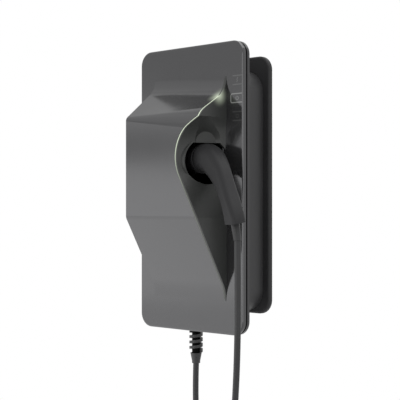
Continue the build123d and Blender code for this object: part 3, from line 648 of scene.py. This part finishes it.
@dataclass
class Enclosure:
    """Cover, frame, gasket, housing, wall plate, dock and plug, and what is fixed inside them.

    Attributes:
        nodes: The frame's objects by name.
        paints: Puts the finishes on them.
        finishes: The finish of each node.
    """

    nodes: dict[str, bpy.types.Object]
    paints: Paints
    finishes: dict[str, Finish] = field(
        default_factory=lambda: {
            "front_cover": Finish.LACQUER,
            "front_frame": Finish.FRAME,
            "cover_gasket": Finish.RUBBER,
            "rear_housing": Finish.HOUSING,
            "wall_plate": Finish.PLATE,
            "dock_insert": Finish.DOCK,
            "gland_body": Finish.GLAND,
            "gland_locknut": Finish.GLAND,
            "bend_relief": Finish.RELIEF,
            "supply_grommet": Finish.RUBBER,
            "cable_tail": Finish.JACKET,
            "plug_handle": Finish.PLUG,
            "plug_nose": Finish.PLUG,
            "plug_carrier": Finish.COMPONENT,
            "plug_contacts": Finish.SILVER,
            "plug_boot": Finish.JACKET,
            "main_board": Finish.BOARD,
            "control_card": Finish.BOARD,
            "light_board": Finish.BOARD,
            "status_board": Finish.BOARD,
            "terminal_block": Finish.TERMINAL,
            "output_terminal": Finish.TERMINAL,
            "power_relay_1": Finish.COMPONENT,
            "power_relay_2": Finish.COMPONENT,
            "current_sensor": Finish.COMPONENT,
            "power_supply": Finish.COMPONENT,
            "cover_screws": Finish.ZINC,
            "frame_screws": Finish.ZINC,
            "plate_screws": Finish.ZINC,
            "board_screws": Finish.ZINC,
        }
    )

    def dress(self) -> None:
        """Gives each solid its finish."""
        for name, finish in self.finishes.items():
            self.paints.put(self.nodes[name], finish.value)


@dataclass
class LightLine:
    """The lit edge of the scoop.

    Attributes:
        nodes: The frame's objects by name.
        paints: Puts the finish on the guide.
        finish: Frosted acrylic that is bright near its lamp and fades down the line.
    """

    nodes: dict[str, bpy.types.Object]
    paints: Paints
    finish: LitGuideFinish = LitGuideFinish(
        "frosted_acrylic_guide",
        "#2a2b28",
        "#dde9ce",
        (
            (-0.200, 0.03), (-0.080, 0.05), (0.000, 0.11), (0.030, 0.30), (0.048, 0.48), (0.065, 0.66),
            (0.090, 0.82), (0.120, 1.00), (0.150, 0.95), (0.158, 0.95), (0.161, 0.0),
        ),
    )

    def dress(self) -> None:
        """Puts the lit finish on the guide."""
        self.paints.put(self.nodes["light_guide"], self.finish)


# Heights between which the status fields lie, and the steps of their light in the two gaps between them
FIELDS_LOW, FIELDS_HIGH = 100.0 * MM, 210.0 * MM
LOWER_STEP = (138.0 * MM, 140.0 * MM)
UPPER_STEP = (171.0 * MM, 173.0 * MM)


def status_levels(stop: float, ready: float, charge: float) -> Pairs:
    """Lists the emission of the three status fields, with a short step in the gap between two fields.

    Args:
        stop: Emission of the lowest field.
        ready: Emission of the middle field.
        charge: Emission of the highest field.

    Returns:
        Height and emission there, from low to high.
    """
    lower = ((FIELDS_LOW, stop), (LOWER_STEP[0], stop), (LOWER_STEP[1], ready))
    upper = ((UPPER_STEP[0], ready), (UPPER_STEP[1], charge), (FIELDS_HIGH, charge))
    return lower + upper


@dataclass
class StatusFields:
    """Three status frames on the right strip, each with a small sign in it.

    Attributes:
        nodes: The frame's objects by name.
        paints: Puts the finishes on frames and signs.
        stroke: Width of a sign's lines.
        proud: How far a sign stands out of the panel.
        sign_x: Middle of the signs along X.
        heights: Middle of each sign.
        ring_radius: Radius of the middle sign's open ring.
        ring_turn: Angles at which the ring begins and ends, in degrees.
        ring_points: Points along the ring.
        stem: Lower and upper end of the stroke in the ring's opening.
        bolt: Corners of the upper sign's zigzag.
        square_half: Half the side of the lower sign's square.
        frame_finish: Lacquered acrylic: lit in the middle frame, faint in the others, dark at their left.
        sign_finish: The same acrylic for the signs, with no dark part.
    """

    nodes: dict[str, bpy.types.Object]
    paints: Paints
    stroke: float = 0.9 * MM
    proud: float = 0.12 * MM
    sign_x: float = 112.5 * MM
    heights: tuple[float, float, float] = (185.8 * MM, 154.7 * MM, 123.6 * MM)
    ring_radius: float = 2.9 * MM
    ring_turn: tuple[float, float] = (125.0, 415.0)
    ring_points: int = 25
    stem: tuple[float, float] = (1.0 * MM, 3.8 * MM)
    bolt: Pairs = (
        (1.2 * MM, 4.0 * MM), (-1.6 * MM, -0.2 * MM), (1.6 * MM, 0.2 * MM), (-1.2 * MM, -4.0 * MM),
    )
    square_half: float = 2.6 * MM
    frame_finish: LitGuideFinish = LitGuideFinish(
        "lacquered_status_frame_acrylic",
        LACQUER_COLOUR,
        "#f2f4f0",
        status_levels(stop=0.025, ready=0.16, charge=0.05),
        metallic=LACQUER_METALLIC,
        roughness=(0.12, 0.14),
        edge_x=102.0 * MM,
        edge_levels=status_levels(stop=0.0, ready=0.16, charge=0.0),
    )
    sign_finish: LitGuideFinish = replace(
        frame_finish,
        name="lacquered_status_sign_acrylic",
        levels=status_levels(stop=0.025, ready=0.16, charge=0.12),
        edge_levels=(),
    )

    def build(self) -> None:
        """Dresses the frames and adds the three signs: a zigzag, an open ring with a stem, and a square."""
        self.paints.put(self.nodes["status_frames"], self.frame_finish)
        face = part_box("status_frames")[0].y
        turn = np.linspace(*np.radians(self.ring_turn), self.ring_points)
        ring = self.ring_radius * np.column_stack([np.cos(turn), np.sin(turn)])
        stem = np.column_stack([np.zeros(2), self.stem])
        square = self.square_half * np.array([[-1, -1], [1, -1], [1, 1], [-1, 1], [-1, -1]])
        signs = {
            "sign_charge": (0, [np.array(self.bolt)]),
            "sign_ready": (1, [ring, stem]),
            "sign_stop": (2, [square]),
        }
        for name, (row, lines) in signs.items():
            parts = [self.stroke_mesh(line + [self.sign_x, self.heights[row]], face) for line in lines]
            piece = mesh_piece(name, parts)
            self.paints.put(piece, self.sign_finish)
            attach(piece, BODY)

    def stroke_mesh(self, line: np.ndarray, face: float) -> Surface:
        """Carries a flat bar along a line on the panel: each point gets a left and a right corner.

        Args:
            line: Points in X and Z.
            face: Depth of the panel along Y.

        Returns:
            Vertices and quads of a closed bar.
        """
        along = np.gradient(line, axis=0)
        along /= np.linalg.norm(along, axis=1, keepdims=True)
        across = np.column_stack([-along[:, 1], along[:, 0]]) * self.stroke / 2
        left, right = line + across, line - across
        corners = np.stack([left, right, right, left], axis=1)
        depth = np.array([face - self.proud, face - self.proud, face, face])
        count = len(line)
        points = np.empty((count, 4, 3))
        points[:, :, 0] = corners[:, :, 0]
        points[:, :, 1] = depth
        points[:, :, 2] = corners[:, :, 1]
        row, col = np.meshgrid(np.arange(count - 1), np.arange(4), indexing="ij")
        after = (col + 1) % 4
        here, ahead = row * 4, (row + 1) * 4
        quads = np.stack([here + col, here + after, ahead + after, ahead + col], axis=-1)
        last = (count - 1) * 4
        ends = np.array([[3, 2, 1, 0], [last, last + 1, last + 2, last + 3]])
        return points.reshape(-1, 3), np.vstack([quads.reshape(-1, 4), ends])


@dataclass
class ChargingCable:
    """The charging cable from the gland to the plug, with its spare length coiled and strapped.

    Both strands hang in the upright plane through the gland and the plug, and the coil hangs midway.

    Attributes:
        nodes: The frame's objects by name.
        paints: Puts the finishes on cable and strap.
        diameter: Outer diameter of the jacket.
        length: Real length of the cable; not used.
        coil_z: Height of the coil's centre.
        coil_radius: Middle radius of the coil.
        pitch: Spacing of the turns beside and on each other.
        turns: Turns from the gland's strand to the plug's.
        places: Places of the turns in the bundle, outwards and aside, in pitches, as they are taken in turn.
        coil_angles: Angles in the coil's plane at which the strands join it, in degrees.
        step_start: Share of the first turn at which it begins to step to the next place.
        step_sooner: How much sooner each further turn begins its step.
        step_width: Share of a turn that a step takes.
        points_per_turn: Control points of each turn.
        round_steps: Bevel resolution of the cable's round.
        point_steps: Steps of the mesh between control points.
        gland_bulge, gland_lead_in, plug_bulge, plug_lead_in: The strands' points, as in the solids, in
            millimetres: distance in the plane from the strand's start, or from the coil's centre line for a
            lead-in, and height.
        strap_finish: Woven tape, matt black with threads that catch a little light.
    """

    nodes: dict[str, bpy.types.Object]
    paints: Paints
    diameter: float = 11.0 * MM
    length: float = 5.0
    coil_z: float = -505.0 * MM
    coil_radius: float = 66.0 * MM
    pitch: float = 11.25 * MM
    turns: int = 10
    places: Pairs = (
        (1, -0.5), (1, -1.5), (0, -1.5), (-1, -1.5), (-1, -0.5), (0, -0.5), (0, 0.5), (-1, 0.5), (-1, 1.5),
        (0, 1.5), (1, 1.5),
    )
    coil_angles: tuple[float, float] = (213.0, 327.0)
    step_start: float = 0.90
    step_sooner: float = 0.085
    step_width: float = 0.08
    points_per_turn: int = 24
    round_steps: int = 5
    point_steps: int = 6
    gland_bulge: Pairs = ((-4.3, -366.0), (-0.3, -412.0))
    gland_lead_in: Pairs = ((-108.0, -458.0), (-84.0, -500.0))
    plug_bulge: Pairs = ((2.3, -190.0), (-2.2, -284.0), (-14.7, -366.0))
    plug_lead_in: Pairs = ((95.0, -436.0), (78.0, -492.0))
    strap_finish: WovenFinish = WovenFinish("woven_strap_tape", "#1b1b1c", thread_mm=1.2)

    def __post_init__(self) -> None:
        """Takes the cable's two ends from the relief and the boot that hold it."""
        self.gland_end = lower_end(self.nodes["bend_relief"])
        self.boot_end = lower_end(self.nodes["plug_boot"])

    def plane(self) -> tuple[np.ndarray, np.ndarray, np.ndarray, float]:
        """Works out the upright plane that the cable hangs in.

        Returns:
            The coil's centre, the unit vectors along and across the plane, and half the strands' span.
        """
        start, end = self.gland_end, self.boot_end
        span = (end - start) * [1, 1, 0]
        along = span / np.linalg.norm(span)
        centre = (start + end) / 2
        centre[2] = self.coil_z
        return centre, along, np.cross([0, 0, 1], along), float(np.linalg.norm(span)) / 2

    def coil_points(self) -> np.ndarray:
        """Winds the turns: the angle runs on evenly, and each turn steps once to the next place.

        The steps come a little earlier on each turn, so a turn moves only into a place that is already free.
        They are eased by the cubic that is level at both ends. Midway between control points, the spline
        reaches a share of their radius: half, plus half the squared cosine of half the angle between them.
        So their radius is the coil's divided by that share.

        Returns:
            Points in metres.
        """
        places = np.array(self.places) * self.pitch
        first, last = np.radians(self.coil_angles)
        sweep = last - first + math.tau * self.turns
        count = int(self.points_per_turn * sweep / math.tau)
        progress = np.linspace(0, sweep, count)
        turn = np.floor(progress / math.tau)
        share = progress / math.tau - turn
        step = np.clip((share - self.step_start + self.step_sooner * turn) / self.step_width, 0, 1)
        index = np.minimum(turn + step * step * (3 - 2 * step), self.turns)
        out = np.interp(index, np.arange(len(places)), places[:, 0])
        aside = np.interp(index, np.arange(len(places)), places[:, 1])
        between = math.tau / self.points_per_turn
        reached = 0.5 + 0.5 * math.cos(between / 2) ** 2
        radius = (self.coil_radius + out) / reached
        angle = first + progress
        centre, along, across, _ = self.plane()
        points = centre + np.outer(radius * np.cos(angle), along) + np.outer(aside, across)
        points[:, 2] += radius * np.sin(angle)
        return points

    def hanging(self, pairs: Pairs, base: float) -> np.ndarray:
        """Places a strand's points in the cable's plane.

        Args:
            pairs: Distance from the base, and height, in millimetres.
            base: Distance of the base from the coil's centre line, in metres.

        Returns:
            Points in metres.
        """
        centre, along, _, _ = self.plane()
        distance, height = np.array(pairs).T * MM
        level = centre * [1, 1, 0] + np.outer(base + distance, along)
        return level + np.outer(height, [0, 0, 1])

    def route(self) -> np.ndarray:
        """Strings the strands and the coil together.

        Returns:
            The control points from the gland through the coil to the plug's boot.
        """
        half = self.plane()[3]
        down = [self.hanging(self.gland_bulge, -half), self.hanging(self.gland_lead_in, 0.0)]
        up = [self.hanging(self.plug_bulge, half), self.hanging(self.plug_lead_in, 0.0)]
        return np.vstack(
            [[self.gland_end], *down, self.coil_points(), np.vstack(up)[::-1], [self.boot_end]]
        )

    def build(self) -> None:
        route = self.route()
        curve = bpy.data.curves.new("charging_cable", "CURVE")
        curve.dimensions = "3D"
        curve.bevel_depth = self.diameter / 2
        curve.bevel_resolution = self.round_steps
        curve.resolution_u = self.point_steps
        curve.use_fill_caps = True
        spline = curve.splines.new("NURBS")
        spline.points.add(len(route) - 1)
        spline.points.foreach_set("co", np.column_stack([route, np.ones(len(route))]).ravel())
        spline.order_u = 3
        spline.use_endpoint_u = True
        spline.use_smooth = True
        cable = bpy.data.objects.new("charging_cable", curve)
        bpy.context.scene.collection.objects.link(cable)
        self.paints.put(cable, Finish.JACKET.value)
        self.paints.put(self.nodes["coil_strap"], self.strap_finish)
        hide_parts("cable_gland_run", "cable_coil", "cable_plug_run")
        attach(cable, BODY)


@dataclass(frozen=True)
class Softbox:
    """A rectangular lamp that faces a target.

    Attributes:
        name: The lamp's name.
        place: Its middle.
        target: The point it faces.
        size: Its width and height.
        radiance: Brightness of its face, where one is white.
    """

    name: str
    place: Point
    target: Point
    size: tuple[float, float]
    radiance: float

    def build(self) -> None:
        """Adds the lamp; its power is its radiance times pi times the area of its face."""
        data = bpy.data.lights.new(self.name, "AREA")
        data.shape = "RECTANGLE"
        data.size, data.size_y = self.size
        data.energy = self.radiance * math.pi * self.size[0] * self.size[1]
        lamp = bpy.data.objects.new(self.name, data)
        lamp.location = self.place
        direction = np.array(self.target) - np.array(self.place)
        lamp.rotation_euler = (
            math.acos(-direction[2] / np.linalg.norm(direction)),
            0.0,
            math.atan2(direction[1], direction[0]) - math.pi / 2,
        )
        bpy.context.scene.collection.objects.link(lamp)
        LOG.info("%s: %.2f", self.name, self.radiance)


@dataclass
class Studio:
    """Camera, pale floor, world and soft lamps.

    Attributes:
        camera_place: Where the camera stands, level.
        camera_turn: Its turn about Z in degrees.
        focal_px: Focal length in pixels of the picture.
        picture_px: Width of that picture in pixels.
        sensor_mm: Width of the camera's sensor.
        rise_px: How far the horizon lies below the picture's middle, in pixels.
        floor_z: Height of the floor.
        floor_half: Half its side.
        floor_colour: Hex colour of the floor where it takes light.
        ambient: World light on what isn't seen directly.
        lamps: The softboxes.
    """

    camera_place: Point = (1.297, -1.471, -0.0347)
    camera_turn: float = 43.0
    focal_px: float = 1050.0
    picture_px: float = 400.0
    sensor_mm: float = 36.0
    rise_px: float = 8.0
    floor_z: float = -0.62
    floor_half: float = 8.0
    floor_colour: str = "#e8e8e8"
    ambient: float = 0.8
    lamps: tuple[Softbox, ...] = (
        # Three on the left that the cover mirrors: in the hump's lower half, the foot and the hump's top
        Softbox("low_softbox", (-1.78, -1.95, -0.135), (0.0, -0.15, -0.135), (1.9, 0.57), 1.35),
        Softbox("base_softbox", (-1.78, -1.95, -0.515), (0.0, -0.15, -0.515), (1.9, 0.19), 0.7),
        Softbox("strip_softbox", (-1.78, -1.95, 0.355), (0.0, -0.15, 0.355), (1.9, 0.12), 0.9),
        # One just above the floor, for the hump's lower slope
        Softbox("floor_glow", (-1.05, -1.1, -0.61), (-1.05, -1.1, 1.0), (1.9, 1.9), 1.0),
        # A weak one high on the left, for the hump's upper slope
        Softbox("side_softbox", (-1.8, -1.15, 1.5), (0.0, -0.15, 0.12), (1.4, 1.5), 0.2),
        # One overhead for what faces up, one in front for dock and plug, and one on the right for the sides
        Softbox("top_softbox", (0.6, 0.15, 1.75), (0.0, -0.06, 0.0), (2.6, 1.3), 2.35),
        Softbox("front_softbox", (0.1, -2.6, 0.1), (0.05, -0.1, 0.1), (1.6, 1.4), 1.7),
        Softbox("right_softbox", (1.6, -0.6, -0.35), (0.1, -0.1, -0.25), (1.2, 1.4), 0.8),
    )

    def build(self) -> None:
        """Sets up the view and the light."""
        self.camera()
        self.world()
        self.floor()
        for lamp in self.lamps:
            lamp.build()

    def camera(self) -> None:
        """Makes the camera of the photograph's view."""
        data = bpy.data.cameras.new("camera")
        data.sensor_width = self.sensor_mm
        data.lens = self.focal_px / self.picture_px * self.sensor_mm
        data.shift_y = self.rise_px / self.picture_px
        camera = bpy.data.objects.new("camera", data)
        camera.location = self.camera_place
        camera.rotation_euler = (math.pi / 2, 0.0, math.radians(self.camera_turn))
        bpy.context.scene.collection.objects.link(camera)
        bpy.context.scene.camera = camera

    def world(self) -> None:
        """Makes a room that is white where it is seen or mirrored, with a plain ambient light elsewhere."""
        world = bpy.data.worlds.new("studio_world")
        world.use_nodes = True
        tree = world.node_tree
        tree.nodes.clear()
        strength = add_node(
            tree, "ShaderNodeMapRange", {"Value": self.seen(tree), "To Min": self.ambient, "To Max": 1.0}
        )
        background = add_node(
            tree, "ShaderNodeBackground", {"Color": linear(WHITE), "Strength": strength.outputs[0]}
        )
        add_node(tree, "ShaderNodeOutputWorld", {"Surface": background.outputs[0]})
        bpy.context.scene.world = world

    def seen(self, tree: bpy.types.NodeTree) -> bpy.types.NodeSocket:
        """Picks the rays that show the background: camera, glossy and transmission rays.

        Args:
            tree: The tree that takes the nodes.

        Returns:
            The socket that is one for such rays.
        """
        rays = add_node(tree, "ShaderNodeLightPath").outputs
        mirrored = add_node(
            tree, "ShaderNodeMath", {0: rays["Is Camera Ray"], 1: rays["Is Glossy Ray"]}, operation="MAXIMUM"
        )
        return add_node(
            tree,
            "ShaderNodeMath",
            {0: mirrored.outputs[0], 1: rays["Is Transmission Ray"]},
            operation="MAXIMUM",
        ).outputs[0]

    def floor(self) -> None:
        """Lays a wide pale floor that shows white and still takes light."""
        corners = self.floor_half * np.array([[-1, -1], [1, -1], [1, 1], [-1, 1]])
        points = np.column_stack([corners, np.full(4, self.floor_z)])
        piece = mesh_piece("studio_floor", [(points, np.array([[0, 1, 2, 3]]))])
        material, tree = new_material("pale_floor")
        paper = add_node(tree, "ShaderNodeBsdfDiffuse", {"Color": linear(self.floor_colour)})
        white = add_node(tree, "ShaderNodeEmission", {"Color": linear(WHITE), "Strength": 1.0})
        shown = add_node(
            tree, "ShaderNodeMixShader", {0: self.seen(tree), 1: paper.outputs[0], 2: white.outputs[0]}
        )
        add_node(tree, "ShaderNodeOutputMaterial", {"Surface": shown.outputs[0]})
        piece.data.materials.append(material)


def main() -> None:
    """Builds the charger's looks piece by piece."""
    logging.basicConfig(level=logging.INFO, format="%(message)s")
    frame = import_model()
    bpy.context.scene.view_settings.view_transform = "Standard"
    nodes = frame["nodes"]
    paints = Paints()
    Enclosure(nodes, paints).dress()
    LightLine(nodes, paints).dress()
    StatusFields(nodes, paints).build()
    ChargingCable(nodes, paints).build()
    Studio().build()


if __name__ == "__main__":
    main()
